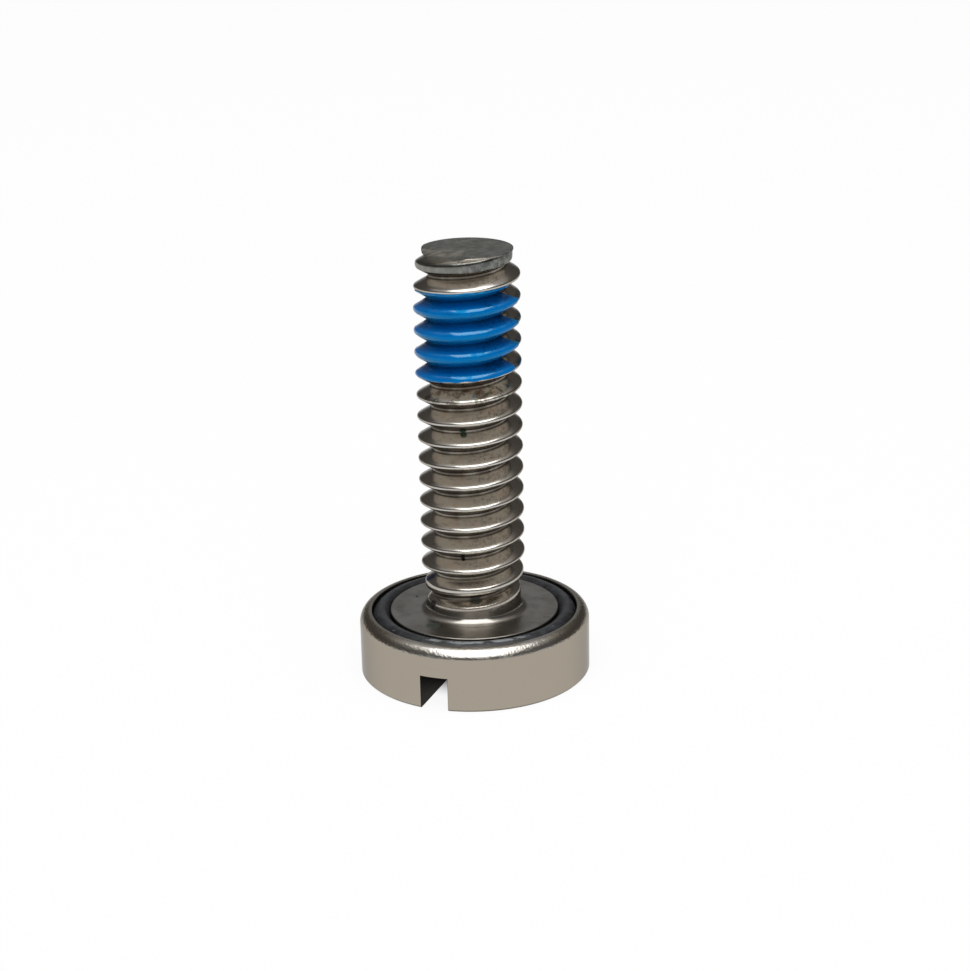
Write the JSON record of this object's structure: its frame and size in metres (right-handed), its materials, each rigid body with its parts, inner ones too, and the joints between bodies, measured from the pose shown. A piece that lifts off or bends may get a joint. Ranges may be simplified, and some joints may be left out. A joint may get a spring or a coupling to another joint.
{
  "type": "self-sealing binding screw",
  "caption": "Slotted cheese-head machine screw with a rubber sealing ring under its head and a nylon locking patch on its thread.",
  "frame": {"origin": "centre of the slotted head face, which the screw stands on", "axes": "+Z along the screw axis from the head to the end of the thread; the slot's near end opens towards -Y, a little to -X"},
  "size_m": [0.0136, 0.0134, 0.0253],
  "materials": {
    "steel": "bright rolled thread and turned head",
    "rubber": "moulded, scuffed",
    "nylon": "fused gloss film"
  },
  "bodies": {
    "root": {"screw": "steel", "o_ring": "rubber", "lock_patch": "nylon"}
  },
  "joints": []
}
